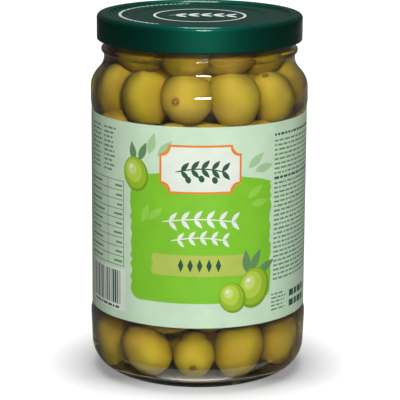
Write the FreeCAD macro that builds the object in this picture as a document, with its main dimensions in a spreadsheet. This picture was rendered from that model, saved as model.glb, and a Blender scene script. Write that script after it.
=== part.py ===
"""A large glass jar of green olives in brine, with a twist-off metal lid and a wrap-round paper label.

Millimetres, +Z up. The origin is the middle of the ring that the jar stands on, and the label's
seam faces +Y, so the front of the label faces -Y.

Sub-parts: jar (glass), lid (lacquered tinplate), label (paper), brine (the liquid round the olives)
and olives (the packed heap, one solid out to its uneven outline).
"""
import FreeCAD, Part
import Sketcher
import math
import os

SHEET = "Sizes"

DIMENSIONS = [
    # alias, value, what it is
    ("glass_height", 196.9, "base to the top of the finish"),
    ("body_radius", 59.4, "lower bulge, the widest place"),
    ("base_bulge_height", 29.6, "height of the widest place"),
    ("base_taper", 1.25, "how far the wall leans in below the widest place"),
    ("heel_rounding", 15.5, "outer rounding from the wall to the bearing ring"),
    ("bearing_width", 2.15, "flat ring that the jar stands on"),
    ("punt_height", 4.5, "how far the middle of the base is pushed up"),
    ("panel_depth", 0.8, "how far the label panel lies below the lower bulge"),
    ("panel_bottom", 36.4, "lower end of the label panel"),
    ("panel_drop", 50.6, "from the mouth down to the upper end of the label panel"),
    ("panel_blend", 3.6, "height of the slope from a bulge to the panel"),
    ("panel_rounding", 5.0, "rounding at both ends of the panel's slopes"),
    ("upper_bulge_depth", 0.5, "how far the upper bulge stands out from the panel"),
    ("shoulder_drop", 34.9, "from the mouth down to where the wall turns in"),
    ("shoulder_rounding", 12.8, "outer rounding of the shoulder"),
    ("neck_drop", 26.5, "from the mouth down to where the shoulder meets the neck"),
    ("neck_radius", 51.9, "outside of the neck"),
    ("neck_rounding", 8.9, "outer rounding from the shoulder into the neck"),
    ("bead_drop", 19.0, "from the mouth down to the middle of the bead round the neck"),
    ("bead_width", 4.0, "height of the bead"),
    ("bead_depth", 1.4, "how far the bead stands out"),
    ("bead_rounding", 1.1, "rounding of the bead's outer corners"),
    ("finish_step", 0.2, "how far the finish stands out from the neck"),
    ("lip_rounding", 1.2, "rounding of both edges of the mouth"),
    ("wall", 2.9, "glass at the label panel and the neck"),
    ("floor_thickness", 4.2, "glass in the middle of the base"),
    ("floor_fall", 2.6, "how much lower the floor lies at its rim"),
    ("cavity_rounding", 11.0, "inner rounding from the floor to the wall"),
    ("slope_drop", 1.2, "how much lower the shoulder lies inside"),
    ("thread_count", 8, "thread segments round the finish"),
    ("thread_angle", 26.0, "degrees that one segment covers"),
    ("thread_drop", 7.3, "from the mouth down to the middle of the thread segments"),
    ("thread_width", 2.4, "height of a thread segment at its root"),
    ("thread_depth", 1.5, "how far a thread segment stands out"),
    ("lid_clearance", 3.3, "between the finish and the inside of the lid's skirt"),
    ("lid_height", 14.0, "lid from its lower edge to its rim"),
    ("lid_gauge", 0.3, "lacquered tinplate"),
    ("lid_corner", 2.3, "rounding from the skirt to the rim"),
    ("lid_rim_inset", 0.4, "how far outside the mouth the raised rim ends"),
    ("lid_recess", 1.1, "depth of the recessed panel"),
    ("lid_recess_run", 1.2, "radial run of the slope into the recess"),
    ("lid_ledge", 11.7, "flat ring of the recess, round the lower middle of the lid"),
    ("lid_step", 0.5, "depth of that middle"),
    ("lid_step_run", 1.4, "radial run of the slope into the middle"),
    ("curl_width", 1.5, "thickness of the rolled lower edge"),
    ("curl_height", 1.8, "height of the rolled lower edge"),
    ("curl_rounding", 0.6, "rounding of the rolled lower edge"),
    ("lug_angle", 10.0, "degrees that one lug of the lid covers"),
    ("lug_clearance", 0.9, "between a lug and the finish above the bead"),
    ("lug_height", 3.6, "height of a lug"),
    ("seat_gap", 0.1, "between the lid and the mouth"),
    ("label_thickness", 0.15, "paper"),
    ("label_margin", 0.7, "panel left bare above and below the label"),
    ("label_gap", 0.05, "glue between the paper and the glass"),
    ("seam_angle", 9.0, "degrees by which the label's ends overlap"),
    ("fill_drop", 8.7, "from the mouth down to the level of the brine"),
    ("liquid_gap", 0.05, "between the brine and the glass"),
    ("olive_radius", 12.7, "largest olive"),
    ("olive_spread", 0.8, "how much smaller the smallest olive is"),
    ("olive_gap", 0.6, "brine between the olives and what is round them"),
    ("layer_spacing", 1.43, "from one layer of olives to the next, in olive radii, about"),
    ("place_spacing", 1.7, "from one olive to the next round a layer, in olive radii, about"),
    ("row_wander", 0.8, "how far an olive lies above or below its layer"),
    ("core_bite", 0.15, "how far the heap's solid middle passes the centres, in olive radii"),
    ("core_end", 0.3, "how far it passes the lowest and highest centres, in olive radii"),
]


class Size:
    """A length with the expression, in the sheet's names, that it is worked out by."""

    def __init__(self, value, text):
        self.value = value
        self.text = text

    @staticmethod
    def of(other):
        return other if isinstance(other, Size) else Size(other, f"{other:.6f}")

    def __add__(self, other):
        other = Size.of(other)
        return Size(self.value + other.value, f"({self.text} + {other.text})")

    def __sub__(self, other):
        other = Size.of(other)
        return Size(self.value - other.value, f"({self.text} - {other.text})")

    def __mul__(self, other):
        other = Size.of(other)
        return Size(self.value * other.value, f"({self.text} * {other.text})")

    def at_most(self, other):
        other = Size.of(other)
        return Size(min(self.value, other.value), f"min({self.text}; {other.text})")


def make_sheet(doc):
    """The driving dimensions as cells with aliases, and the same as a dictionary of sizes."""
    sheet = doc.addObject("Spreadsheet::Sheet", SHEET)
    sizes = {}
    for row, (alias, value, note) in enumerate(DIMENSIONS, start=1):
        sheet.set(f"A{row}", note)
        sheet.set(f"B{row}", str(value))
        sheet.setAlias(f"B{row}", alias)
        sizes[alias] = Size(value, f"{SHEET}.{alias}")
    doc.recompute()
    return sizes


doc = FreeCAD.newDocument("olive_jar")
size = make_sheet(doc)
AXIS = Size(0.0, "0")


# ---------------------------------------------------------------- sketches and features

def origin_plane(body, role):
    """One of the body's own origin planes, found by its role."""
    return next(item for item in body.Origin.OriginFeatures if item.Role == role)


def closed_profile(body, name, corners, plane="XZ_Plane"):
    """A sketch of straight lines through the corners, each corner held at its radius and height."""
    sketch = body.newObject("Sketcher::SketchObject", name)
    sketch.AttachmentSupport = (origin_plane(body, plane), "")
    sketch.MapMode = "FlatFace"
    points = [FreeCAD.Vector(radius.value, height.value, 0) for radius, height in corners]
    count = len(points)
    for i in range(count):
        sketch.addGeometry(Part.LineSegment(points[i], points[(i + 1) % count]))
    for i in range(count):
        sketch.addConstraint(Sketcher.Constraint("Coincident", i, 2, (i + 1) % count, 1))
    for i, (radius, height) in enumerate(corners):
        if radius is AXIS:
            sketch.addConstraint(Sketcher.Constraint("PointOnObject", i, 1, -2))
        else:
            hold(sketch, "DistanceX", i, radius)
        hold(sketch, "DistanceY", i, height)
    return sketch


def hold(sketch, kind, line, length):
    """Fixes the start of a line at a signed distance from the origin, by expression."""
    number = sketch.addConstraint(Sketcher.Constraint(kind, -1, 1, line, 1, length.value))
    sketch.setExpression(f"Constraints[{number}]", length.text)


def turned(body, name, corners, kind="Revolution", angle=None, plane="XZ_Plane"):
    """A profile turned about the vertical axis, all the way or centred on its sketch's plane."""
    sketch = closed_profile(body, f"{name}_profile", corners, plane)
    feature = body.newObject(f"PartDesign::{kind}", name)
    feature.Profile = sketch
    feature.ReferenceAxis = (sketch, ["V_Axis"])
    feature.Angle = 360.0
    if angle is not None:
        feature.Midplane = True
        feature.setExpression("Angle", angle.text)
    doc.recompute()
    return feature


def ring_edge(shape, radius, height):
    """Name of the circular edge of that radius at that height."""
    tolerance = 1e-4
    for number, edge in enumerate(shape.Edges, start=1):
        if not isinstance(edge.Curve, Part.Circle):
            continue
        off_radius = abs(edge.Curve.Radius - radius.value)
        off_height = abs(edge.Curve.Center.z - height.value)
        if off_radius < tolerance and off_height < tolerance:
            return f"Edge{number}"
    raise RuntimeError(f"no ring of radius {radius.value:.2f} at height {height.value:.2f}")


def rounded(body, name, corner, rounding):
    """Fillets the ring that one corner of a turned profile makes."""
    base = body.Tip
    feature = body.newObject("PartDesign::Fillet", name)
    feature.Base = (base, [ring_edge(base.Shape, *corner)])
    feature.Radius = rounding.value
    feature.setExpression("Radius", rounding.text)
    doc.recompute()


def repeated(body, name, feature):
    """Copies of a feature at each thread segment's place round the vertical axis."""
    pattern = body.newObject("PartDesign::PolarPattern", name)
    pattern.Originals = [feature]
    pattern.Axis = (origin_plane(body, "Z_Axis"), [""])
    pattern.Angle = 360.0
    pattern.Occurrences = int(size["thread_count"].value)
    pattern.setExpression("Occurrences", size["thread_count"].text)
    body.Tip = pattern
    doc.recompute()


def new_body(label):
    body = doc.addObject("PartDesign::Body", f"{label}_body")
    body.Label = label
    return body


# ---------------------------------------------------------------- lengths that several pieces share

foot_radius = size["body_radius"] - size["base_taper"]
punt_radius = foot_radius - size["heel_rounding"] - size["bearing_width"]
panel_radius = size["body_radius"] - size["panel_depth"]
panel_top = size["glass_height"] - size["panel_drop"]
upper_radius = panel_radius + size["upper_bulge_depth"]
shoulder_height = size["glass_height"] - size["shoulder_drop"]
neck_height = size["glass_height"] - size["neck_drop"]
bead_height = size["glass_height"] - size["bead_drop"]
finish_radius = size["neck_radius"] + size["finish_step"]
cavity_radius = panel_radius - size["wall"]
mouth_radius = size["neck_radius"] - size["wall"]
floor_middle = size["punt_height"] + size["floor_thickness"]
floor_rim = floor_middle - size["floor_fall"]
cavity_shoulder = shoulder_height - size["slope_drop"]
cavity_neck = neck_height - size["slope_drop"]
fill_height = size["glass_height"] - size["fill_drop"]
lid_radius = finish_radius + size["lid_clearance"] + size["lid_gauge"]
lid_top = size["glass_height"] + size["seat_gap"] + size["lid_gauge"]
lid_bottom = lid_top - size["lid_height"]


def cavity_corners(gap, top):
    """The jar's inside, from the middle of its floor up to the given height, less a gap all over."""
    radius = cavity_radius - gap
    mouth = mouth_radius - gap
    return [
        (AXIS, floor_middle + gap),
        (radius, floor_rim + gap),
        (radius, cavity_shoulder - gap),
        (mouth, cavity_neck - gap),
        (mouth, top),
        (AXIS, top),
    ]


def round_cavity(body, corners, gap):
    """The roundings inside the jar, at its heel, its shoulder and its neck."""
    rounded(body, "inner_heel", corners[1], size["cavity_rounding"] - gap)
    rounded(body, "inner_shoulder", corners[2], size["shoulder_rounding"] - size["wall"] - gap)
    rounded(body, "inner_neck", corners[3], size["neck_rounding"] + size["wall"] + gap)


# ---------------------------------------------------------------- the pieces

def make_jar():
    """Blown glass: heel, lower bulge, label panel, upper bulge, shoulder, bead and threaded finish."""
    body = new_body("jar")
    bead_radius = size["neck_radius"] + size["bead_depth"]
    half_bead = size["bead_width"] * 0.5
    bead_face = size["bead_width"] * 0.2
    heel = (foot_radius, AXIS)
    widest = (size["body_radius"], size["base_bulge_height"])
    panel_steps = [
        (size["body_radius"], size["panel_bottom"] - size["panel_blend"]),
        (panel_radius, size["panel_bottom"]),
        (panel_radius, panel_top),
        (upper_radius, panel_top + size["panel_blend"]),
    ]
    shoulder = (upper_radius, shoulder_height)
    neck = (size["neck_radius"], neck_height)
    bead = [
        (size["neck_radius"], bead_height - half_bead),
        (bead_radius, bead_height - bead_face),
        (bead_radius, bead_height + bead_face),
        (finish_radius, bead_height + half_bead),
    ]
    lip = (finish_radius, size["glass_height"])
    outline = [(AXIS, size["punt_height"]), (punt_radius, AXIS), heel, widest]
    outline += [*panel_steps, shoulder, neck, *bead, lip, (AXIS, size["glass_height"])]
    turned(body, "outside", outline)
    cavity = cavity_corners(AXIS, size["glass_height"])
    turned(body, "cavity", cavity, kind="Groove")
    round_cavity(body, cavity, AXIS)
    rounded(body, "heel", heel, size["heel_rounding"])
    rounded(body, "punt_edge", (punt_radius, AXIS), size["lip_rounding"])
    for number, corner in enumerate(panel_steps):
        rounded(body, f"panel_end_{number}", corner, size["panel_rounding"])
    rounded(body, "shoulder", shoulder, size["shoulder_rounding"])
    half_turn = 0.5 * math.atan2(shoulder[0].value - neck[0].value, neck[1].value - shoulder[1].value)
    straight = bead[0][1] - neck_height
    rounded(body, "neck", neck, size["neck_rounding"].at_most(straight * (0.95 / math.tan(half_turn))))
    rounded(body, "bead_lower", bead[1], size["bead_rounding"])
    rounded(body, "bead_upper", bead[2], size["bead_rounding"])
    rounded(body, "lip_outer", lip, size["lip_rounding"])
    rounded(body, "lip_inner", (mouth_radius, size["glass_height"]), size["lip_rounding"])

    thread_radius = finish_radius + size["thread_depth"]
    thread_height = size["glass_height"] - size["thread_drop"]
    half_root = size["thread_width"] * 0.5
    half_crest = size["thread_width"] * 0.25
    thread = [
        (size["neck_radius"], thread_height - half_root),
        (thread_radius, thread_height - half_crest),
        (thread_radius, thread_height + half_crest),
        (size["neck_radius"], thread_height + half_root),
    ]
    segment = turned(body, "thread", thread, angle=size["thread_angle"])
    repeated(body, "threads", segment)
    return body


def make_lid():
    """Pressed tinplate: rim over the mouth, stepped recess, plain skirt, rolled edge and lugs."""
    body = new_body("lid")
    gauge = size["lid_gauge"]
    recess = lid_top - size["lid_recess"]
    middle = recess - size["lid_step"]
    rim_radius = mouth_radius + size["lid_rim_inset"]
    recess_radius = rim_radius - size["lid_recess_run"]
    step_radius = recess_radius - size["lid_ledge"]
    steps = [
        (rim_radius, lid_top),
        (recess_radius, recess),
        (step_radius, recess),
        (step_radius - size["lid_step_run"], middle),
        (AXIS, middle),
    ]
    outline = [(AXIS, lid_bottom), (lid_radius, lid_bottom), (lid_radius, lid_top)]
    turned(body, "outside", outline + steps)

    curl_radius = lid_radius - size["curl_width"]
    curl_top = lid_bottom + size["curl_height"]
    skirt_radius = lid_radius - gauge
    inside = [
        (AXIS, lid_bottom),
        (curl_radius, lid_bottom),
        (curl_radius, curl_top),
        (skirt_radius, curl_top),
        (skirt_radius, lid_top - gauge),
    ]
    inside += [(radius, height - gauge) for radius, height in steps]
    turned(body, "inside", inside, kind="Groove")
    rounded(body, "inner_corner", (skirt_radius, lid_top - gauge), size["lid_corner"] - gauge)
    rounded(body, "outer_corner", outline[2], size["lid_corner"])
    rounded(body, "skirt_foot", outline[1], size["curl_rounding"])
    rounded(body, "curl_foot", (curl_radius, lid_bottom), size["curl_rounding"])

    lug_radius = finish_radius + size["lug_clearance"]
    lug_top = lid_bottom + size["lug_height"]
    lug = [
        (skirt_radius, lid_bottom + size["curl_rounding"]),
        (lug_radius, lid_bottom + size["curl_height"]),
        (lug_radius, lug_top),
        (skirt_radius, lug_top),
    ]
    repeated(body, "lugs", turned(body, "lug", lug, angle=size["lug_angle"]))
    return body


def make_label():
    """Paper wrapped once round the panel, its ends overlapping at the back."""
    body = new_body("label")
    inner = panel_radius + size["label_gap"]
    outer = inner + size["label_thickness"]
    bottom = size["panel_bottom"] + size["label_margin"]
    top = panel_top - size["label_margin"]
    turned(body, "wrap", [(inner, bottom), (outer, bottom), (outer, top), (inner, top)])
    middle = inner + size["label_thickness"] * 0.5
    end = outer + size["label_thickness"]
    overlap = [(middle, bottom), (end, bottom), (end, top), (middle, top)]
    turned(body, "seam", overlap, angle=size["seam_angle"], plane="YZ_Plane")
    return body


def wander(number, channel):
    """An uneven but repeatable value from -1 to 1 for the numbered olive."""
    return math.sin(number * 12.9898 + channel * 78.233)


def add_olive(number, ring_radius, bearing, height):
    """One olive of the heap, a little smaller, nearer the middle and further round than its place."""
    slip = 0.5 + 0.5 * wander(number, 1)
    shrink = 0.5 + 0.5 * wander(number, 2)
    bearing += 0.03 * wander(number, 3)
    reach = ring_radius - size["olive_gap"] * slip if ring_radius is not AXIS else AXIS
    olive = doc.addObject("Part::Sphere", f"olive_{number:03d}")
    olive.setExpression("Radius", (size["olive_radius"] - size["olive_spread"] * shrink).text)
    olive.setExpression("Placement.Base.x", (reach * math.cos(bearing)).text)
    olive.setExpression("Placement.Base.y", (reach * math.sin(bearing)).text)
    olive.setExpression("Placement.Base.z", height.text)
    return olive


def add_core(name, radius, bottom, top):
    """A stretch of the heap's solid middle."""
    core = doc.addObject("Part::Cylinder", name)
    core.setExpression("Radius", radius.text)
    core.setExpression("Height", (top - bottom).text)
    core.setExpression("Placement.Base.z", bottom.text)
    return core


def slope_clearance(reach):
    """How far below a corner of the shoulder's slope an olive at the wall under it has to lie."""
    inward = cavity_radius.value - mouth_radius.value
    upward = cavity_neck.value - cavity_shoulder.value
    length = math.hypot(inward, upward)
    return reach * ((length - upward) / inward)


def make_olives():
    """Layers of olives against the glass, staggered, with the floor and the top covered too."""
    radius = size["olive_radius"]
    reach = radius + size["olive_gap"]
    wall_ring = cavity_radius - reach
    neck_ring = mouth_radius - reach
    first = floor_middle - size["floor_fall"] * (wall_ring.value / cavity_radius.value) + reach
    top_body = cavity_shoulder - slope_clearance(reach) - size["row_wander"]
    last = fill_height - reach
    rise = top_body - first
    rows = max(1, round(rise.value / (radius * size["layer_spacing"]).value))
    layers = [(wall_ring, first, AXIS)]
    for row in range(1, rows + 1):
        layers.append((wall_ring, first + rise * (row / rows), size["row_wander"]))
    layers.append((neck_ring, cavity_neck - slope_clearance(reach), AXIS))
    layers.append((neck_ring, last, AXIS))
    layers.append((neck_ring * 0.5, last, AXIS))
    layers.append((AXIS, last, AXIS))
    layers.append((wall_ring * 0.5, floor_middle + reach, AXIS))
    layers.append((AXIS, floor_middle + reach, AXIS))

    olives = []
    for layer, (ring, height, sway) in enumerate(layers):
        spacing = radius.value * size["place_spacing"].value
        count = max(1, int(2 * math.pi * ring.value / spacing))
        for place in range(count):
            number = len(olives)
            bearing = 2 * math.pi * (place + 0.5 * (layer % 2)) / count
            olives.append(add_olive(number, ring, bearing, height + sway * wander(number, 4)))
    bite = radius * size["core_bite"]
    past = radius * size["core_end"]
    cores = [
        add_core("core_body", wall_ring + bite, first - past, top_body + past),
        add_core("core_neck", neck_ring + bite, first - past, last + past),
    ]
    heap = doc.addObject("Part::MultiFuse", "olive_heap")
    heap.Label = "olives"
    heap.Shapes = cores + olives
    doc.recompute()
    return heap


def make_brine(heap):
    """The liquid: what the jar holds up to the level, less the olives."""
    gap = size["liquid_gap"]
    body = doc.addObject("PartDesign::Body", "brine_fill")
    corners = cavity_corners(gap, fill_height)
    turned(body, "fill", corners)
    round_cavity(body, corners, gap)
    brine = doc.addObject("Part::Cut", "brine_cut")
    brine.Label = "brine"
    brine.Base = body
    brine.Tool = heap
    doc.recompute()
    return brine


def check_document():
    """Stops the build if any feature has failed."""
    for item in doc.Objects:
        if "Invalid" in item.State or "Error" in item.State:
            raise RuntimeError(f"{item.Name} failed: {item.State}")


def export(pieces):
    os.makedirs("parts", exist_ok=True)
    for piece in pieces:
        shape = piece.Shape
        if shape.isNull() or not shape.isValid():
            raise RuntimeError(f"{piece.Label} has no valid shape")
        print(f"{piece.Label}: {len(shape.Solids)} solid, {shape.Volume / 1000:.1f} ml")
        shape.exportStep(f"parts/{piece.Label}.step")


olives = make_olives()
pieces = [make_jar(), make_lid(), make_label(), make_brine(olives), olives]
check_document()
export(pieces)
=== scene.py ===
"""Looks of the jar of green olives: clear glass, brine, real olives over a dark core of painted
shade, a lacquered lid and a printed paper label, on a pale floor in soft studio light. Metres, +Z
up, front at -Y."""
import math
import random

import bpy
import numpy as np
from mathutils import Matrix, Vector
from mathutils.geometry import delaunay_2d_cdt


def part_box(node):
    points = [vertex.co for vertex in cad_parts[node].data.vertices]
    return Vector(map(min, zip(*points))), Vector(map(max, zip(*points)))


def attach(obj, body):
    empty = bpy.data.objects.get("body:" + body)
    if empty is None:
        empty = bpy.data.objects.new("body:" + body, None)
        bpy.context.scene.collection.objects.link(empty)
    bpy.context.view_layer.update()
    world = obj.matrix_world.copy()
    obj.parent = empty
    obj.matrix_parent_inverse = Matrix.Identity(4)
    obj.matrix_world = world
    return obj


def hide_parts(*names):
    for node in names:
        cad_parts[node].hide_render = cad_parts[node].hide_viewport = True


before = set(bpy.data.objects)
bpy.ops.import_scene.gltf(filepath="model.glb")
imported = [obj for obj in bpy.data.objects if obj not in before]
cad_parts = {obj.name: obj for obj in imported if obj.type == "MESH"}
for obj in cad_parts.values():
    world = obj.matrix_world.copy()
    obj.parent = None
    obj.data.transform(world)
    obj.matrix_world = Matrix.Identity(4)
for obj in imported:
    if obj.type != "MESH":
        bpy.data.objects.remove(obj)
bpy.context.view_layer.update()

MM = 0.001

# ---------------------------------------------------------------- places taken from the frame

JAR_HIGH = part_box("jar")[1]
LID_LOW, LID_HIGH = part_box("lid")
LABEL_LOW, LABEL_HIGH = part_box("label")
BRINE_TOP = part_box("brine")[1][2]
BRINE_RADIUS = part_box("brine")[1][0]

GLASS_TOP = JAR_HIGH[2]
BODY_RADIUS = JAR_HIGH[0]
PANEL_RADIUS = BODY_RADIUS - 0.8 * MM
UPPER_RADIUS = PANEL_RADIUS + 0.5 * MM
PANEL_BOTTOM = LABEL_LOW[2] - 0.7 * MM
PANEL_TOP = LABEL_HIGH[2] + 0.7 * MM
CAVITY_RADIUS = BRINE_RADIUS + 0.05 * MM
WALL = PANEL_RADIUS - CAVITY_RADIUS
NECK_RADIUS = BODY_RADIUS - 7.5 * MM
MOUTH_RADIUS = NECK_RADIUS - WALL
SHOULDER_HEIGHT = GLASS_TOP - 34.9 * MM
NECK_HEIGHT = GLASS_TOP - 26.5 * MM
BEAD_HEIGHT = GLASS_TOP - 19.0 * MM
SLOPE_DROP = 1.2 * MM
FLOOR_MIDDLE = 8.7 * MM
FLOOR_RIM = 6.1 * MM
LABEL_RADIUS = LABEL_HIGH[0]
PAPER = 0.15 * MM
LID_STEP = 0.5 * MM


# ---------------------------------------------------------------- mesh helpers

def mesh_object(name, vertices, faces, smooth=True):
    """A new object in the scene with that mesh."""
    mesh = bpy.data.meshes.new(name)
    mesh.from_pydata([tuple(v) for v in vertices], [], [tuple(f) for f in faces])
    mesh.validate()
    mesh.update()
    mesh.polygons.foreach_set("use_smooth", [smooth] * len(mesh.polygons))
    piece = bpy.data.objects.new(name, mesh)
    bpy.context.scene.collection.objects.link(piece)
    return piece


def rounded_outline(corners):
    """Points along straight runs through (radius, height, rounding) corners, with their arcs."""
    points = []
    for i, (x, y, rounding) in enumerate(corners):
        here = Vector((x, y))
        if rounding == 0 or i in (0, len(corners) - 1):
            points.append(here)
            continue
        before = Vector(corners[i - 1][:2]) - here
        after = Vector(corners[i + 1][:2]) - here
        before.normalize()
        after.normalize()
        half = before.angle(after) / 2
        middle = here + (before + after).normalized() * rounding / math.sin(half)
        start = here + before * rounding / math.tan(half) - middle
        end = here + after * rounding / math.tan(half) - middle
        turn = math.pi - 2 * half
        steps = max(3, int(turn / math.radians(7)) + 1)
        side = 1 if start.x * end.y - start.y * end.x > 0 else -1
        for k in range(steps + 1):
            swing = side * turn * k / steps
            cos, sin = math.cos(swing), math.sin(swing)
            points.append(middle + Vector((start.x * cos - start.y * sin,
                                           start.x * sin + start.y * cos)))
    return points


def split_runs(points, longest):
    """The same outline with its long straight runs divided."""
    out = [points[0]]
    for start, end in zip(points, points[1:]):
        pieces = max(1, math.ceil((end - start).length / longest))
        out += [start.lerp(end, k / pieces) for k in range(1, pieces + 1)]
    return out


def turned(name, outline, segments):
    """An outline of (radius, height) points turned about the vertical axis."""
    vertices, faces, rings = [], [], []
    for point in outline:
        if point.x < 1e-7:
            rings.append([len(vertices)])
            vertices.append((0, 0, point.y))
            continue
        rings.append(list(range(len(vertices), len(vertices) + segments)))
        for k in range(segments):
            bearing = 2 * math.pi * k / segments
            vertices.append((point.x * math.cos(bearing), point.x * math.sin(bearing), point.y))
    for low, high in zip(rings, rings[1:]):
        for k in range(segments):
            after = (k + 1) % segments
            if len(low) == 1 and len(high) == 1:
                continue
            if len(low) == 1:
                faces.append((low[0], high[after], high[k]))
            elif len(high) == 1:
                faces.append((low[k], low[after], high[0]))
            else:
                faces.append((low[k], low[after], high[after], high[k]))
    return mesh_object(name, vertices, faces)


# ---------------------------------------------------------------- material helpers

class Nodes:
    """Short names for building one material's node tree."""

    def __init__(self, name):
        self.material = bpy.data.materials.new(name)
        self.material.use_nodes = True
        self.tree = self.material.node_tree
        self.tree.nodes.clear()
        self.out = self.add("ShaderNodeOutputMaterial")

    def add(self, kind, **settings):
        node = self.tree.nodes.new(kind)
        for key, value in settings.items():
            setattr(node, key, value)
        return node

    def link(self, source, target):
        self.tree.links.new(source, target)

    def principled(self, color, roughness, **inputs):
        shader = self.add("ShaderNodeBsdfPrincipled")
        shader.inputs["Base Color"].default_value = (*color, 1)
        shader.inputs["Roughness"].default_value = roughness
        for key, value in inputs.items():
            shader.inputs[key.replace("_", " ")].default_value = value
        return shader

    def noise(self, scale, detail=3.0):
        """Noise over the object's own coordinates, in cells of about 1/scale metres."""
        place = self.add("ShaderNodeTexCoord")
        texture = self.add("ShaderNodeTexNoise")
        texture.inputs["Scale"].default_value = scale
        texture.inputs["Detail"].default_value = detail
        self.link(place.outputs["Object"], texture.inputs["Vector"])
        return texture.outputs["Fac"]

    def ramp(self, factor, stops):
        node = self.add("ShaderNodeValToRGB")
        elements = node.color_ramp.elements
        while len(elements) < len(stops):
            elements.new(0.5)
        for element, (place, color) in zip(elements, stops):
            element.position = place
            element.color = (*color, 1)
        self.link(factor, node.inputs["Fac"])
        return node.outputs["Color"]

    def mix(self, factor, first, second):
        node = self.add("ShaderNodeMix", data_type="RGBA")
        for socket, value in ((0, factor), (6, first), (7, second)):
            if isinstance(value, bpy.types.NodeSocket):
                self.link(value, node.inputs[socket])
            else:
                node.inputs[socket].default_value = (*value, 1)
        return node.outputs[2]

    def math(self, operation, *values):
        """A sum on numbers and other nodes' outputs."""
        node = self.add("ShaderNodeMath", operation=operation)
        for socket, value in zip(node.inputs, values):
            if isinstance(value, bpy.types.NodeSocket):
                self.link(value, socket)
            else:
                socket.default_value = value
        return node.outputs[0]

    def between(self, factor, low, high, start=0.0, end=1.0):
        """A factor from start to end as a value from low to high."""
        node = self.add("ShaderNodeMapRange")
        limits = {"From Min": start, "From Max": end, "To Min": low, "To Max": high}
        for name, value in limits.items():
            node.inputs[name].default_value = value
        self.link(factor, node.inputs["Value"])
        return node.outputs["Result"]

    def bump(self, height, strength, distance, shader):
        node = self.add("ShaderNodeBump")
        node.inputs["Strength"].default_value = strength
        node.inputs["Distance"].default_value = distance
        self.link(height, node.inputs["Height"])
        self.link(node.outputs["Normal"], shader.inputs["Normal"])

    def finish(self, shader):
        self.link(shader, self.out.inputs["Surface"])
        return self.material

    def let_lamps_through(self, shader, tint):
        """Clear to rays from the lamps, so that what lies behind is lit."""
        path = self.add("ShaderNodeLightPath")
        clear = self.add("ShaderNodeBsdfTransparent")
        clear.inputs["Color"].default_value = (*tint, 1)
        mix = self.add("ShaderNodeMixShader")
        self.link(path.outputs["Is Shadow Ray"], mix.inputs[0])
        self.link(shader, mix.inputs[1])
        self.link(clear.outputs[0], mix.inputs[2])
        return mix.outputs[0]


# ---------------------------------------------------------------- materials

def glass_material():
    nodes = Nodes("clear_glass")
    glass = nodes.principled((0.96, 0.985, 0.975), 0.01, IOR=1.5, Transmission_Weight=1.0)
    nodes.bump(nodes.noise(38.0, detail=1.0), 0.25, 0.0006, glass)
    return nodes.finish(nodes.let_lamps_through(glass.outputs[0], (0.97, 0.985, 0.975)))


def brine_material():
    nodes = Nodes("brine")
    liquid = nodes.principled((0.99, 0.97, 0.9), 0.0, IOR=1.34, Transmission_Weight=1.0)
    absorption = nodes.add("ShaderNodeVolumeAbsorption")
    absorption.inputs["Color"].default_value = (0.80, 0.68, 0.10, 1)
    absorption.inputs["Density"].default_value = 46.0
    nodes.link(absorption.outputs[0], nodes.out.inputs["Volume"])
    return nodes.finish(nodes.let_lamps_through(liquid.outputs[0], (0.99, 0.97, 0.9)))


def olive_material():
    nodes = Nodes("olive_skin")
    tone = nodes.add("ShaderNodeAttribute", attribute_name="tone").outputs["Fac"]
    scar = nodes.add("ShaderNodeAttribute", attribute_name="scar").outputs["Fac"]
    # The ramp's dark end is painted shade for the olives up under the lid; the rest is the olives'
    # own varied tone.
    whole = nodes.ramp(tone, [(0.0, (0.07, 0.045, 0.002)), (0.2, (0.18, 0.12, 0.003)),
                              (0.5, (0.27, 0.197, 0.009)), (1.0, (0.36, 0.265, 0.036))])
    patches = nodes.noise(55.0, detail=3.0)
    patched = nodes.mix(nodes.between(patches, -0.35, 0.7), whole, (0.22, 0.18, 0.006))
    blush = nodes.ramp(nodes.noise(38.0, detail=2.0), [(0.48, (0, 0, 0)), (0.72, (1, 1, 1))])
    blushed = nodes.mix(nodes.between(blush, 0.0, 0.5), patched, (0.27, 0.15, 0.025))
    flecks = nodes.ramp(nodes.noise(900.0, detail=1.0), [(0.66, (0, 0, 0)), (0.72, (1, 1, 1))])
    speckled = nodes.mix(nodes.between(flecks, 0.0, 0.3), blushed, (0.38, 0.32, 0.09))
    colour = nodes.mix(scar, speckled, (0.12, 0.045, 0.012))
    skin = nodes.principled((0.3, 0.2, 0.02), 0.6, IOR=1.1)
    nodes.link(colour, skin.inputs["Base Color"])
    nodes.bump(nodes.noise(320.0, detail=4.0), 0.35, 0.0002, skin)
    return nodes.finish(skin.outputs[0])


def heap_shade_material():
    nodes = Nodes("painted_heap_shade")
    # Near-black browns: painted shade for the depth of the heap between the olives.
    tones = [(0.3, (0.012, 0.006, 0.001)), (0.7, (0.04, 0.022, 0.003))]
    shader = nodes.principled((0.06, 0.035, 0.006), 0.7)
    nodes.link(nodes.ramp(nodes.noise(60.0), tones), shader.inputs["Base Color"])
    return nodes.finish(shader.outputs[0])


def lacquer_material():
    """Green lacquer over bright tin, so that it darkens away from the light faster than paint."""
    nodes = Nodes("green_lacquer")
    tones = [(0.35, (0.0006, 0.078, 0.049)), (0.65, (0.0010, 0.090, 0.057))]
    shader = nodes.principled((0.001, 0.09, 0.06), 0.58, Metallic=1.0, IOR=1.5, Coat_Weight=0.5,
                              Coat_Roughness=0.1, Specular_Tint=(0.01, 0.12, 0.1, 1))
    nodes.link(nodes.ramp(nodes.noise(18.0), tones), shader.inputs["Base Color"])
    nodes.bump(nodes.noise(700.0, detail=2.0), 0.08, 0.0001, shader)
    return nodes.finish(shader.outputs[0])


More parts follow.
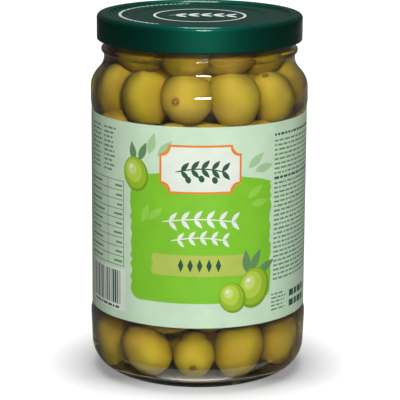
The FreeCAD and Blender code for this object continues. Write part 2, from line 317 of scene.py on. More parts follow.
def tin_material():
    nodes = Nodes("lid_lining")
    tones = [(0.3, (0.62, 0.56, 0.40)), (0.7, (0.70, 0.64, 0.48))]
    shader = nodes.principled((0.66, 0.6, 0.44), 0.35, Metallic=0.7)
    nodes.link(nodes.ramp(nodes.noise(60.0), tones), shader.inputs["Base Color"])
    return nodes.finish(shader.outputs[0])


def print_material(name, color, roughness=0.42, mottle=0.05):
    """Ink on coated paper: a little uneven in tone, with the paper's tooth."""
    nodes = Nodes(name)
    dark = tuple(c * (1 - mottle) for c in color)
    light = tuple(min(1.0, c * (1 + mottle)) for c in color)
    tone = nodes.ramp(nodes.noise(90.0, detail=4.0), [(0.3, dark), (0.7, light)])
    shader = nodes.principled(color, roughness, IOR=1.45)
    nodes.link(tone, shader.inputs["Base Color"])
    nodes.bump(nodes.noise(2600.0, detail=2.0), 0.12, 0.00008, shader)
    return nodes.finish(shader.outputs[0])


# ---------------------------------------------------------------- glass and brine

def cavity_outline(grow, top):
    """The jar's inside as an outline from the middle of the floor, grown outwards."""
    radius = CAVITY_RADIUS + grow
    mouth = MOUTH_RADIUS + grow
    return [
        (0, FLOOR_MIDDLE - grow, 0),
        (radius, FLOOR_RIM - grow, 11 * MM + grow),
        (radius, SHOULDER_HEIGHT - SLOPE_DROP + grow, 9.9 * MM + grow),
        (mouth, NECK_HEIGHT - SLOPE_DROP + grow, 11.8 * MM - grow),
        (mouth, top, 0),
    ]


def build_glass():
    blend = 3.6 * MM
    outside = [
        (0, 4.5 * MM, 0),
        (22 * MM, 3.4 * MM, 40 * MM),
        (40.5 * MM, 0.1 * MM, 1.2 * MM),
        (42 * MM, 0, 0.6 * MM),
        (BODY_RADIUS - 1.25 * MM, 0, 15.5 * MM),
        (BODY_RADIUS, 29.6 * MM, 60 * MM),
        (BODY_RADIUS, PANEL_BOTTOM - blend, 5 * MM),
        (PANEL_RADIUS, PANEL_BOTTOM, 5 * MM),
        (PANEL_RADIUS, PANEL_TOP, 5 * MM),
        (UPPER_RADIUS, PANEL_TOP + blend, 5 * MM),
        (UPPER_RADIUS, SHOULDER_HEIGHT, 12.8 * MM),
        (NECK_RADIUS, NECK_HEIGHT, 8.9 * MM),
        (NECK_RADIUS, BEAD_HEIGHT - 2.0 * MM, 0.4 * MM),
        (NECK_RADIUS + 1.4 * MM, BEAD_HEIGHT - 0.8 * MM, 1.1 * MM),
        (NECK_RADIUS + 1.4 * MM, BEAD_HEIGHT + 0.8 * MM, 1.1 * MM),
        (NECK_RADIUS + 0.2 * MM, BEAD_HEIGHT + 2.0 * MM, 0.4 * MM),
        (NECK_RADIUS + 0.2 * MM, GLASS_TOP, 1.2 * MM),
        (MOUTH_RADIUS, GLASS_TOP, 1.2 * MM),
    ]
    inside = cavity_outline(0, GLASS_TOP)[-2::-1]
    outline = split_runs(rounded_outline(outside + inside), 4 * MM)
    glass = turned("glass_jar", outline, segments=256)
    glass.data.materials.append(glass_material())
    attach(glass, "root")
    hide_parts("jar")


def build_brine():
    """Liquid that reaches just into the glass, with its edge drawn up a little at the wall."""
    grow = 0.35 * MM
    outline = cavity_outline(grow, BRINE_TOP + 0.6 * MM)
    outline += [(MOUTH_RADIUS - 3 * MM, BRINE_TOP, 2 * MM), (0, BRINE_TOP, 0)]
    brine = turned("brine_liquid", split_runs(rounded_outline(outline), 6 * MM), segments=192)
    brine.data.materials.append(brine_material())
    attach(brine, "root")
    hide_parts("brine")


# ---------------------------------------------------------------- olives

OLIVE_LENGTH = 13.9 * MM   # half of it, as for the width
OLIVE_WIDTH = 12.0 * MM
OLIVE_REACH = 12.2 * MM    # from an olive's centre to the glass, before it is kept inside
FREE_OLIVES = 92           # beside those in SHOWN

# The olives that show at the front: bearing from the front in degrees and height in mm, how the
# long axis leans from upright and which way in degrees, its size, and mm further in than the glass.
SHOWN = [
    (-68, 158, 8, 0, 1.0, 0), (-38, 156.5, 6, 0, 1.0, 0), (-9, 157.5, 88, -105, 1.0, 0),
    (24, 157, -20, 0, 1.0, 0), (55, 156, -35, 20, 0.96, 0), (84, 160, -32, 0, 1.05, 1),
    (-52, 178, 75, 0, 1.0, 2), (-10, 178, 20, 0, 1.0, 2), (24, 177.5, 65, 0, 1.0, 2),
    (60, 178, 50, 0, 1.0, 2),
    (-30, 164, 70, 0, 1.0, 16), (20, 160, 80, 0, 1.0, 17), (62, 163, 30, 0, 1.0, 12),
    (-66, 166, 60, 0, 1.0, 10),
    (-63, 137.5, 60, 0, 1.0, 0), (7, 135, 80, 0, 0.95, 0), (-21, 133, 40, 0, 1.0, 0),
    (40, 134, 30, 0, 1.0, 0),
    (-70, 21, -15, 0, 1.0, 0), (-35, 19.5, -57, 0, 0.98, 0), (-2.5, 18.6, 111, -90, 0.90, 0),
    (29, 20.5, 32, 0, 1.02, 0), (64, 21, 36, 0, 1.0, 0), (92, 20, 10, 0, 0.95, 0),
    (-20, 40, 85, 0, 0.95, 2), (8, 41.5, 80, 0, 0.95, 3), (46, 46, 20, 0, 1.0, 0),
    (-52, 46, 60, 0, 1.0, 0),
]


def shell_radius(height, reach):
    """How far from the axis an olive's centre may lie at that height, against the glass."""
    body = CAVITY_RADIUS - reach
    neck = MOUTH_RADIUS - reach
    slope = Vector((CAVITY_RADIUS - MOUTH_RADIUS, SHOULDER_HEIGHT - NECK_HEIGHT))
    normal = Vector((-slope.y, slope.x)).normalized()
    top = SHOULDER_HEIGHT - SLOPE_DROP
    along = (top - height) * normal.y - reach + CAVITY_RADIUS * normal.x
    sloped = along / normal.x
    if height > NECK_HEIGHT:
        return neck
    return max(neck, min(body, sloped))


def place_olives():
    """Centres of the olives, packed by pushing overlapping ones apart inside the jar."""
    rng = np.random.default_rng(7)
    reach = OLIVE_REACH
    fixed = []
    for bearing, height, _, _, scale, inset in SHOWN:
        angle = math.radians(bearing)
        radius = shell_radius(height * MM, reach * scale) - inset * MM
        fixed.append((radius * math.sin(angle), -radius * math.cos(angle), height * MM))
    low, high = FLOOR_MIDDLE + reach, BRINE_TOP - reach - 0.5 * MM
    order = np.arange(FREE_OLIVES)
    height = low + (high - low) * (order + 0.5) / FREE_OLIVES
    bearing = order * math.pi * (3 - math.sqrt(5))
    radius = np.where(order % 7 < 6, 42 * MM, 22 * MM)
    loose = np.stack([radius * np.cos(bearing), radius * np.sin(bearing), height], axis=1)
    centres = np.concatenate([np.array(fixed), loose])
    centres[len(fixed):] += rng.normal(0, 2 * MM, loose.shape)
    apart = 2 * OLIVE_WIDTH
    for _ in range(500):
        between = centres[:, None] - centres[None]
        distance = np.linalg.norm(between, axis=2) + np.eye(len(centres))
        push = np.clip(apart - distance, 0, None)
        np.fill_diagonal(push, 0)
        move = (between / distance[..., None] * push[..., None]).sum(1) * 0.25
        move[:len(fixed)] = 0
        centres += move
        for i in range(len(fixed), len(centres)):
            x, y, z = centres[i]
            z = min(max(z, low - 1 * MM), high)
            limit = shell_radius(z, reach)
            # The windows above and below the label at the front keep the olives chosen for them.
            if y < 4 * MM and (z < 40 * MM or z > 142 * MM):
                limit = min(limit, 20 * MM)
            away = math.hypot(x, y)
            if away > limit:
                x, y = x * limit / away, y * limit / away
            centres[i] = (x, y, z)
    return centres


def olive_shape(rng):
    """One olive about its own centre, long along Z: an egg with a small tip and a stem scar."""
    rows, columns = 18, 26
    length = OLIVE_LENGTH * rng.uniform(0.94, 1.08)
    width = OLIVE_WIDTH * rng.uniform(0.95, 1.04)
    egg = rng.uniform(0.0, 0.09)
    tip = rng.uniform(0.2, 1.1) * MM
    dents = [(rng.normal(size=3), rng.uniform(0, 2 * math.pi), rng.uniform(0.1, 0.3) * MM)
             for _ in range(4)]
    middle = [math.pi * k / rows for k in range(2, rows - 1)]
    polar = [0.05, 0.10, 0.15, 0.20, 0.26, *middle, math.pi - 0.22, math.pi - 0.1]
    around = 2 * math.pi * np.arange(columns) / columns
    points, scar = [], []
    for angle in [0.0, *polar, math.pi]:
        ring = around if 0 < angle < math.pi else [0.0]
        rim = math.exp(-((angle - 0.17) / 0.035) ** 2)
        pit = math.exp(-((angle - 0.09) / 0.05) ** 2)
        for turn in ring:
            radius = width * math.sin(angle) * (1 - egg * math.cos(angle))
            height = length * math.cos(angle) + (0.25 * rim - 0.8 * pit) * MM
            height -= tip * math.exp(-((math.pi - angle) / 0.16) ** 2)
            spot = np.array([radius * math.cos(turn), radius * math.sin(turn), height])
            way = spot / np.linalg.norm(spot)
            bulge = sum(size * math.sin(2.6 * float(way @ axis) + phase)
                        for axis, phase, size in dents)
            points.append(spot + way * bulge)
            end = 0.4 * math.exp(-((math.pi - angle) / 0.1) ** 2)
            scar.append(0.75 * rim + pit + 0.5 * math.exp(-(angle / 0.05) ** 2) + end)
    rings = len(polar)
    faces = [(0, 1 + (k + 1) % columns, 1 + k) for k in range(columns)]
    for ring in range(rings - 1):
        start, after = 1 + ring * columns, 1 + (ring + 1) * columns
        faces += [(start + k, start + (k + 1) % columns, after + (k + 1) % columns, after + k)
                  for k in range(columns)]
    last = 1 + (rings - 1) * columns
    faces += [(last + k, last + (k + 1) % columns, last + columns) for k in range(columns)]
    return np.array(points), faces, scar


def lie(number, rng):
    """How an olive is turned and sized: as chosen where it shows, at random elsewhere."""
    if number < len(SHOWN):
        bearing, _, lean, away, scale, _ = SHOWN[number]
        turn = Matrix.Rotation(math.radians(lean), 3, "Y")
        swing = Matrix.Rotation(math.radians(away), 3, "Z")
        face = Matrix.Rotation(math.radians(bearing), 3, "Z")
        return np.array(face @ swing @ turn) * scale
    axis = Vector(rng.normal(size=3)).normalized()
    return np.array(Matrix.Rotation(rng.uniform(0, 2 * math.pi), 3, axis))


def keep_inside(points):
    """Moves an olive's points together, up and inwards, until all of them lie within the glass."""
    line = [p for p in rounded_outline(cavity_outline(-0.15 * MM, GLASS_TOP)) if p.x > 30 * MM]
    heights, radii = [p.y for p in line], [p.x for p in line]
    for _ in range(8):
        points[:, 2] += max(0.0, FLOOR_RIM + 0.4 * MM - points[:, 2].min())
        allowed = np.interp(points[:, 2], heights, radii)
        over = (np.hypot(points[:, 0], points[:, 1]) - allowed).max()
        if over <= 0:
            break
        middle = points[:, :2].mean(axis=0)
        points[:, :2] -= middle / np.linalg.norm(middle) * over
    return points


def tone_and_shade_range(height):
    """Darkest and lightest tone of an olive at that height: dark up in the lid's shade, which is
    painted into their colour.
    """
    if height < 60 * MM:
        return 0.42, 0.62
    return (0.62, 1.0) if height < 170 * MM else (0.0, 0.15)


def build_olives():
    rng = np.random.default_rng(21)
    vertices, faces, tones, scars = [], [], [], []
    for number, centre in enumerate(place_olives()):
        points, shape_faces, scar = olive_shape(rng)
        placed = keep_inside(points @ lie(number, rng).T + centre)
        start = len(vertices)
        vertices += [tuple(p) for p in placed]
        faces += [tuple(start + i for i in face) for face in shape_faces]
        # A random tone in the band for its height; up under the lid that band is painted shade.
        tones += [rng.uniform(*tone_and_shade_range(centre[2]))] * len(points)
        scars += scar
    olives = mesh_object("olives_packed", vertices, faces)
    for name, values in (("tone", tones), ("scar", scars)):
        attribute = olives.data.attributes.new(name, "FLOAT", "POINT")
        attribute.data.foreach_set("value", np.clip(values, 0, 1))
    olives.data.materials.append(olive_material())
    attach(olives, "root")
    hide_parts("olives")

    # A lumpy near-black core in the middle of the heap: painted shade, dark where the olives deep
    # inside would lie in shadow.
    top = BRINE_TOP - 20 * MM
    low = FLOOR_MIDDLE + 0.3 * MM
    core_line = [(0, low, 0), (27 * MM, low, 6 * MM), (27 * MM, SHOULDER_HEIGHT, 10 * MM),
                 (20 * MM, top, 8 * MM), (0, top, 0)]
    core = turned("olive_heap_shade_core", split_runs(rounded_outline(core_line), 4 * MM), segments=96)
    for vertex in core.data.vertices:
        x, y, z = vertex.co
        lump = math.sin(x * 310 + z * 190) * math.sin(y * 290 - z * 230) + math.sin(z * 270)
        vertex.co.xy *= 1 + 0.06 * lump
    core.data.materials.append(heap_shade_material())
    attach(core, "root")


# ---------------------------------------------------------------- lid

def build_lid():
    """The lacquered cap with its rolled edge. Gives back the height of the panel's middle."""
    radius = LID_HIGH[0]
    top, bottom = LID_HIGH[2], LID_LOW[2]
    gauge = 0.3 * MM
    recess = top - 1.1 * MM
    middle = recess - LID_STEP
    steps = [
        (49.4 * MM, top, 1.2 * MM),
        (48.2 * MM, recess, 0.9 * MM),
        (36.5 * MM, recess, 0.6 * MM),
        (35.1 * MM, middle, 0.6 * MM),
        (0, middle, 0),
    ]
    outside = [(radius, bottom, 0.6 * MM), (radius, top, 2.3 * MM), *steps]
    inner = radius - gauge
    curl = radius - 1.5 * MM
    under = [(r, z - gauge, rounding) for r, z, rounding in steps[::-1]]
    under += [(inner, top - gauge, 2.0 * MM), (inner, bottom + 1.8 * MM, 0.3 * MM)]
    under += [(curl, bottom + 1.8 * MM, 0.5 * MM), (curl, bottom, 0.6 * MM)]
    start = (radius - 0.7 * MM, bottom, 0)
    outline = split_runs(rounded_outline([start, *outside, *under, start]), 3 * MM)
    segments = 256
    lid = turned("lid_cap", outline, segments)
    lid.data.materials.append(lacquer_material())
    lid.data.materials.append(tin_material())
    lining_from = min(range(len(outline)), key=lambda i: (outline[i].x, outline[i].y))
    for number, face in enumerate(lid.data.polygons):
        past_start = number // segments >= lining_from - 1
        if past_start and math.hypot(*face.center[:2]) < inner + gauge / 2:
            face.material_index = 1
    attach(lid, "root")
    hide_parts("lid")
    return middle


# ---------------------------------------------------------------- flat print shapes, in millimetres

def rectangle(x0, y0, x1, y1):
    return [(x0, y0), (x1, y0), (x1, y1), (x0, y1)]


def tilted(x, y, points, tilt):
    """Points about (0, 0) turned by that many degrees and moved to (x, y)."""
    cos, sin = math.cos(math.radians(tilt)), math.sin(math.radians(tilt))
    return [(x + a * cos - b * sin, y + a * sin + b * cos) for a, b in points]


def arc(x, y, radius, start, steps):
    """A quarter of a circle, anticlockwise from that many degrees."""
    angles = [math.radians(start + 90 * k / steps) for k in range(steps + 1)]
    return [(x + radius * math.cos(angle), y + radius * math.sin(angle)) for angle in angles]


def ellipse(x, y, rx, ry, tilt=0.0, count=36):
    angles = [2 * math.pi * k / count for k in range(count)]
    return tilted(x, y, [(rx * math.cos(angle), ry * math.sin(angle)) for angle in angles], tilt)


def leaf(x, y, length, width, tilt, count=12):
    """A pointed leaf from its stalk at (x, y), as two bowed edges."""
    along = [k / count for k in range(count + 1)]
    upper = [(length * t, width / 2 * math.sin(math.pi * t ** 0.85)) for t in along]
    lower = [(length * t, -width / 2 * math.sin(math.pi * t ** 0.85)) for t in along[-2:0:-1]]
    return tilted(x, y, upper + lower, tilt)


def stroke(points, width):
    """A line of that width along the points, tapered at both ends."""
    left, right = [], []
    for i, (x, y) in enumerate(points):
        x0, y0 = points[max(i - 1, 0)]
        x1, y1 = points[min(i + 1, len(points) - 1)]
        run = math.hypot(x1 - x0, y1 - y0)
        nx, ny = -(y1 - y0) / run, (x1 - x0) / run
        half = width / 2 * (0.35 if i in (0, len(points) - 1) else 1)
        left.append((x + nx * half, y + ny * half))
        right.append((x - nx * half, y - ny * half))
    return left + right[::-1]


def ticket(x, y, half_width, half_height, notch, count=7):
    """A plaque with its corners scooped out."""
    out = []
    for sx, sy, start in ((1, 1, 270), (-1, 1, 0), (-1, -1, 90), (1, -1, 180)):
        cx, cy = x + sx * half_width, y + sy * half_height
        for k in range(count):
            angle = math.radians(start - 90 * k / (count - 1))
            out.append((cx + notch * math.cos(angle), cy + notch * math.sin(angle)))
    return out


def brushed_field(x0, x1, bottom, top_left, top_middle, top_right, rng):
    """A painted field with soft lower corners and the ragged ends of brush strokes at its sides."""
    corner = 6.0
    out = arc(x0 + corner, bottom + corner, corner, 180, 6)
    out += arc(x1 - corner, bottom + corner, corner, 270, 6)
    strokes = 26
    for k in range(strokes):
        y = bottom + corner + (top_right - bottom - corner) * (k + 0.5) / strokes
        out.append((x1 + rng.uniform(-1.1, 0.5), y))
    pull = 2 * top_middle - (top_left + top_right) / 2
    for k in range(13):
        t = k / 12
        y = top_right * (1 - t) ** 2 + 2 * pull * t * (1 - t) + top_left * t * t
        out.append((x1 + (x0 - x1) * t, y + rng.uniform(-0.25, 0.25)))
    for k in range(strokes):
        y = top_left - (top_left - bottom - corner) * (k + 0.5) / strokes
        out.append((x0 + rng.uniform(-0.5, 1.3), y))
    return out


def text_rows(x0, x1, y0, y1, pitch, thickness, rng, ragged=0.25):
    """Rows of short plain bars, where small print would be."""
    out = []
    y = y1
    while y > y0:
        x = x0
        end = x1 - (x1 - x0) * rng.uniform(0, ragged)
        while x < end:
            width = min(rng.uniform(1.2, 5.0), end - x)
            if width > 0.6:
                out.append(rectangle(x, y - thickness, x + width, y))
            x += width + 0.9
        y -= pitch
    return out


def sprig(x, y, length, leaf_length, leaf_width, pairs, bow=2.0):
    """A bowed stem with leaves in pairs, lying level."""
    stem = [(x - length / 2 + length * k / 16, y + bow * math.sin(math.pi * k / 16))
            for k in range(17)]
    shapes = [stroke(stem, 0.7)]
    for k in range(pairs):
        t = (k + 0.6) / pairs
        px = x - length / 2 + length * t
        py = y + bow * math.sin(math.pi * t)
        for side in (1, -1):
            shapes.append(leaf(px, py, leaf_length, leaf_width, side * 48))
    return shapes


def printed_olive(x, y, rx, ry, tilt):
    """An olive drawn as nested plain tones, light towards its upper left."""
    shapes = [("olive_dark", ellipse(x, y, rx, ry, tilt))]
    tones = (("olive_mid", 0.9, 0.06), ("olive_light", 0.66, 0.16), ("olive_pale", 0.34, 0.28))
    for tone, share, shift in tones:
        spot = ellipse(x - rx * shift, y + ry * shift, rx * share, ry * share, tilt)
        shapes.append((tone, spot))
    glint = ellipse(x - rx * 0.36, y + ry * 0.4, rx * 0.14, ry * 0.1, tilt + 30, 16)
    shapes.append(("white", glint))
    return shapes


def label_shapes():
    """The label's print as (ink, outline) in paint order, in mm from the front's middle."""
    rng = random.Random(5)
    shapes = [("field", brushed_field(-38.5, 41.8, 13.5, 80.5, 84.2, 77.5, rng))]
    for x, y, tilt in ((-31, 56, 70), (-27.5, 58, 40), (27, 70, 35), (29, 66, 8)):
        shapes.append(("field_leaf", leaf(x, y, 11, 4.2, tilt)))
    for x, y, tilt in ((-27, 93, 75), (-22, 92, 48), (27, 86, 38), (31, 84, 12)):
        shapes.append(("pale_leaf", leaf(x, y, 12, 4.6, tilt)))

    shapes.append(("orange", ticket(1, 86, 22, 13, 5.0)))
    shapes.append(("white", ticket(1, 86, 20.8, 11.8, 5.0)))
    shapes += [("ink", outline) for outline in sprig(1, 84.5, 27, 6.4, 2.5, 5)]
    shapes += [("ink", ellipse(x, y, 1.5, 1.9, 20, 18))
               for x, y in ((-5.5, 80.6), (1.5, 81.2), (8.5, 80.4))]

    shapes += [("white", outline) for outline in sprig(0.4, 57.5, 40, 6.6, 2.3, 6)]
    shapes += [("white", outline) for outline in sprig(0.4, 47.5, 30, 5.4, 2.0, 5)]
    banner = [(-25, 28.6), (27, 28.2), (26.2, 31), (27.6, 34), (26.4, 37), (27.3, 39.6),
              (-24.6, 40.1), (-25.6, 37.4), (-24.4, 34.2), (-25.8, 31.4)]
    shapes.append(("banner", banner))
    for k in range(5):
        x = -9.2 + 5.0 * k
        shapes.append(("ink", [(x - 1.5, 34.3), (x, 30.6), (x + 1.5, 34.3), (x, 38)]))

    for x, y, tilt in ((29, 30, 62), (33, 28, 30), (27, 29, 95)):
        shapes.append(("leaf_grey", leaf(x, y, 13, 4.8, tilt)))
    shapes += printed_olive(31.2, 20.5, 9.6, 11.2, -18)
    shapes += printed_olive(18.6, 16.2, 7.4, 8.6, 24)
    for x, y, tilt in ((-36, 88, 100), (-33, 89, 66)):
        shapes.append(("leaf_grey", leaf(x, y, 11, 4.2, tilt)))
    shapes += printed_olive(-35.2, 81.5, 7.8, 9.4, 14)

    shapes += [("small_print", bar) for bar in text_rows(-76, -63, 79, 104, 2.5, 1.0, rng)]
    shapes += [("small_print", bar) for bar in text_rows(-60.5, -49.5, 79, 104, 2.5, 1.0, rng)]
    shapes += table_shapes(-78, -43.5, 29.5, 76, rng)
    shapes.append(("white", rectangle(-76, 4.5, -42.5, 28)))
    x = -74.0
    while x < -46:
        width = rng.choice((0.5, 0.5, 0.9, 1.4))
        shapes.append(("ink", rectangle(x, 8, x + width, 26.5)))
        x += width + rng.choice((0.5, 0.7, 1.1))
    shapes += [("ink", bar) for bar in text_rows(-73, -46.5, 5, 6.8, 3.0, 1.3, rng, 0.02)]

    shapes += [("ink", bar) for bar in text_rows(44, 118, 100, 102.5, 3.0, 1.3, rng, 0.02)]
    shapes += [("small_print", bar) for bar in text_rows(44, 118, 81, 99, 2.5, 0.95, rng, 0.06)]
    shapes += [("ink", bar) for bar in text_rows(44, 118, 77.5, 79, 3.0, 1.3, rng, 0.02)]
    shapes += [("small_print", bar) for bar in text_rows(44, 118, 22, 76, 2.5, 0.95, rng, 0.08)]
    shapes += [("small_print", bar) for bar in text_rows(43, 55, 6, 15, 2.1, 0.9, rng)]
    shapes += [("ink", rectangle(x, y, x + w, y + 3.6))
               for y in (5, 10.6) for x, w in ((58.5, 4.6), (64.2, 3.0), (68.3, 5.2), (74.6, 3.4))]
    return shapes


def table_shapes(left, right, bottom, top, rng):
    """A ruled table with a bar of small print in each cell."""
    rows = 9
    pitch = (top - bottom) / rows
    inner = right - 13.5
    shapes = [("ink", rectangle(left, bottom + pitch * k, right, bottom + pitch * k + 0.3))
              for k in range(rows + 1)]
    shapes += [("ink", rectangle(x, bottom, x + 0.3, top)) for x in (left, inner, right - 0.3)]
    for k in range(rows):
        y = bottom + pitch * (k + 0.38)
        name_end, number_start = left + rng.uniform(9, 18), right - rng.uniform(5, 9)
        shapes.append(("small_print", rectangle(left + 1.5, y, name_end, y + 1.1)))
        shapes.append(("small_print", rectangle(number_start, y, right - 1.2, y + 1.1)))
    return shapes


def print_faces(shapes, x0, x1, y0, y1, column):
    """Triangles of a flat sheet cut along every shape, each with the ink that lies on top there."""
    outlines = [rectangle(x0, y0, x1, y1)] + [outline for _, outline in shapes]
    points, faces, edges = [], [], []
    for outline in outlines:
        turns = [a[0] * b[1] - b[0] * a[1] for a, b in zip(outline, outline[1:] + outline[:1])]
        if sum(turns) < 0:
            outline = outline[::-1]
        start = len(points)
        points += [Vector((min(max(x, x0), x1), min(max(y, y0), y1))) for x, y in outline]
        faces.append(list(range(start, len(points))))
    columns = round((x1 - x0) / column)
    for k in range(1, columns):
        x = x0 + (x1 - x0) * k / columns
        edges.append((len(points), len(points) + 1))
        points += [Vector((x, y0)), Vector((x, y1))]
    cut = delaunay_2d_cdt(points, edges, faces, 1, 1e-5, True)
    vertices, triangles, origins = cut[0], cut[2], cut[5]
    inks = [max(origin) if origin else 0 for origin in origins]
    return vertices, triangles, [None if ink == 0 else shapes[ink - 1][0] for ink in inks]


INKS = {
    "paper": (0.66, 0.86, 0.63),
    "field": (0.24, 0.62, 0.03),
    "field_leaf": (0.33, 0.70, 0.08),
    "pale_leaf": (0.42, 0.66, 0.36),
    "white": (0.86, 0.93, 0.82),
    "orange": (0.90, 0.27, 0.03),
    "ink": (0.025, 0.10, 0.05),
    "small_print": (0.16, 0.29, 0.17),
    "banner": (0.50, 0.61, 0.11),
    "leaf_grey": (0.14, 0.30, 0.12),
    "olive_dark": (0.20, 0.38, 0.015),
    "olive_mid": (0.34, 0.55, 0.03),
    "olive_light": (0.50, 0.70, 0.07),
    "olive_pale": (0.66, 0.80, 0.22),
}


def build_label():
    """The paper, cut along its print and wrapped round the panel, with a lapped seam behind."""
    radius = LABEL_RADIUS
    half = math.pi * radius / MM
    height = (LABEL_HIGH[2] - LABEL_LOW[2]) / MM
    flat, triangles, inks = print_faces(label_shapes(), -half, half, 0, height, 2.4)
    names = list(INKS)
    count = len(flat)
    lap = 4.6
    vertices = []
    for layer in (0.0, PAPER):
        for x, y in flat:
            # The far end of the wrap rides up over the near end by one thickness.
            rise = PAPER * min(1.0, max(0.0, (x - half + 2 * lap) / lap))
            around = x * MM / radius
            if x > half - lap * 0.02:
                around += lap * MM / radius
            away = radius - layer + rise
            height_here = LABEL_LOW[2] + y * MM
            vertices.append((away * math.sin(around), -away * math.cos(around), height_here))
    faces = [tuple(t) for t in triangles]
    slots = [names.index(ink or "paper") for ink in inks]
    edges = dict.fromkeys(edge for triangle in triangles
                          for edge in zip(triangle, [*triangle[1:], triangle[0]]))
    rim = [(a, b) for a, b in edges if (b, a) not in edges]
    faces += [tuple(count + i for i in reversed(t)) for t in triangles]
    slots += [0] * len(triangles)
    faces += [(b, a, count + a, count + b) for a, b in rim]
    slots += [0] * len(rim)
    label = mesh_object("paper_label", vertices, faces)
    for name, color in INKS.items():
        label.data.materials.append(print_material(f"print_{name}", color))
    label.data.polygons.foreach_set("material_index", slots)
    label.data.set_sharp_from_angle(angle=math.radians(40))
    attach(label, "root")
    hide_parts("label")


# ---------------------------------------------------------------- print on the lid

def build_lid_print(height):
    """A ring and a leafy sprig on the lid's middle, and a broken ring of bars on its ledge."""
    rng = random.Random(11)
    ink = 0.04 * MM
    vertices, faces = [], []

    def add(points, lift):
        first = len(vertices)
        vertices.extend([(x * MM, y * MM, height + lift) for x, y in points])
        faces.append(tuple(range(first, len(vertices))))

    def band(radius, start, sweep, width, lift):
        steps = max(2, int(sweep / 3))
        for k in range(steps):
            a, b = (math.radians(start + sweep * (k + e) / steps) for e in (0, 1))
            add([(r * math.sin(turn), r * math.cos(turn))
                 for r, turn in ((radius - width / 2, a), (radius + width / 2, a),
                                 (radius + width / 2, b), (radius - width / 2, b))], lift)

    angle, last = -150, -8
    while angle < last:
        sweep = rng.uniform(1.2, 4.2)
        band(43.2, angle, min(sweep, last - angle), 1.5, LID_STEP + ink)
        angle += sweep + 1.1
    band(24.5, 0, 360, 1.3, ink)
    for outline in sprig(0, -1.0, 34, 9.0, 3.4, 5, bow=3.0):
        add(outline, ink)
    piece = mesh_object("lid_print", vertices, faces, smooth=False)
    for face in piece.data.polygons:
        if face.normal.z < 0:
            face.flip()
    piece.data.materials.append(print_material("lid_print_white", (0.78, 0.86, 0.84), 0.3))
    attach(piece, "root")


# ---------------------------------------------------------------- stage, light and camera

FLOOR_GREY = 0.13      # what the floor throws back on the jar
SHADE_REACH = 0.047    # how far the jar's shade spreads
UNDER_JAR = 0.06       # radius of the floor that shows through the jar's foot


def build_stage():
    """A floor that the camera sees as white, but for the shade close round the jar."""
    size = 3.0
    corners = [(-size, -size, 0), (size, -size, 0), (size, size, 0), (-size, size, 0)]
    floor = mesh_object("floor", corners, [(0, 1, 2, 3)], smooth=False)
    nodes = Nodes("floor_paper")
    matte = nodes.add("ShaderNodeBsdfDiffuse")
    matte.inputs["Color"].default_value = (FLOOR_GREY, FLOOR_GREY, FLOOR_GREY, 1)
    path = nodes.add("ShaderNodeLightPath")
    place = nodes.add("ShaderNodeTexCoord").outputs["Object"]
    parts = nodes.add("ShaderNodeSeparateXYZ")
    nodes.link(place, parts.inputs[0])
    away = nodes.add("ShaderNodeVectorMath", operation="LENGTH")
    nodes.link(place, away.inputs[0])

    shade = nodes.add("ShaderNodeAmbientOcclusion", samples=16)
    shade.inputs["Distance"].default_value = SHADE_REACH
    seen = nodes.between(shade.outputs["AO"], 0.2, 1.0, 0.42, 0.96)
    # The shade is weak in front of the jar and full beside and behind it.
    front = nodes.between(parts.outputs["Y"], 0.8, 0.0, -0.074, -0.03)
    lifted = nodes.add("ShaderNodeMix", data_type="FLOAT")
    nodes.link(front, lifted.inputs[0])
    nodes.link(seen, lifted.inputs[2])
    lifted.inputs[3].default_value = 1.0
    # Under the jar the floor glows for rays through the glass, as a white sweep would: painted
    # light, from no lamp.
    under = nodes.math("LESS_THAN", away.outputs["Value"], UNDER_JAR)
    through_glass = nodes.math("MULTIPLY", path.outputs["Is Transmission Ray"],
                               nodes.math("MULTIPLY", under, 1.1))
    glow = nodes.add("ShaderNodeEmission")
    nodes.link(nodes.math("MULTIPLY_ADD", path.outputs["Is Camera Ray"], lifted.outputs[0],
                          through_glass), glow.inputs["Strength"])
    both = nodes.add("ShaderNodeAddShader")
    nodes.link(matte.outputs[0], both.inputs[0])
    nodes.link(glow.outputs[0], both.inputs[1])
    floor.data.materials.append(nodes.finish(both.outputs[0]))


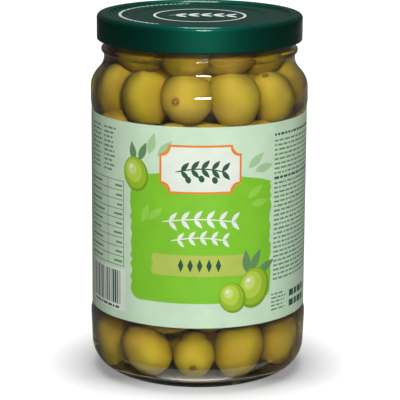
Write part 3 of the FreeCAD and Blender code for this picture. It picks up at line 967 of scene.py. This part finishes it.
def area_light(name, place, aim, width, height, power, shines=True):
    """A rectangular lamp, with or without a reflection of its own."""
    data = bpy.data.lights.new(name, "AREA")
    data.shape = "RECTANGLE"
    data.size = width
    data.size_y = height
    data.energy = power
    lamp = bpy.data.objects.new(name, data)
    # Glass and brine let the lamps' light straight through, so refraction doesn't count it again.
    lamp.visible_transmission = False
    lamp.visible_glossy = shines
    lamp.location = place
    lamp.rotation_euler = (Vector(aim) - Vector(place)).to_track_quat("-Z", "Y").to_euler()
    bpy.context.scene.collection.objects.link(lamp)


def build_light():
    target = (0, 0, 0.1)
    area_light("key_front", (0.12, -1.5, 0.72), target, 0.42, 0.2, 21)
    area_light("top", (0.0, 0.0, 1.3), target, 0.4, 0.6, 9)
    area_light("fill_back", (0.35, 1.5, 0.6), target, 0.6, 0.6, 22, shines=False)
    world = bpy.data.worlds.new("studio")
    bpy.context.scene.world = world
    world.use_nodes = True
    tree = world.node_tree
    tree.nodes.clear()
    # White to the camera, and a dim even level to everything else.
    out = tree.nodes.new("ShaderNodeOutputWorld")
    path = tree.nodes.new("ShaderNodeLightPath")
    level = tree.nodes.new("ShaderNodeMix")
    level.data_type = "FLOAT"
    level.inputs[2].default_value = 0.12
    level.inputs[3].default_value = 1.0
    tree.links.new(path.outputs["Is Camera Ray"], level.inputs[0])
    sky = tree.nodes.new("ShaderNodeBackground")
    sky.inputs["Color"].default_value = (1, 1, 1, 1)
    tree.links.new(level.outputs[0], sky.inputs["Strength"])
    tree.links.new(sky.outputs[0], out.inputs["Surface"])


def build_camera():
    data = bpy.data.cameras.new("camera")
    data.sensor_width = 36.0
    data.lens = 175.6
    data.shift_x = 0.0037
    data.clip_start = 0.05
    camera = bpy.data.objects.new("camera", data)
    pitch = math.radians(90 - 13.356)
    roll = 0.007
    camera.matrix_world = (Matrix.Translation((0, -1.0485, 0.3421))
                           @ Matrix.Rotation(pitch, 4, "X") @ Matrix.Rotation(roll, 4, "Z"))
    bpy.context.scene.collection.objects.link(camera)
    bpy.context.scene.camera = camera


bpy.context.scene.view_settings.view_transform = "Standard"
build_glass()
build_brine()
build_olives()
build_lid_print(build_lid())
build_label()
build_stage()
build_light()
build_camera()
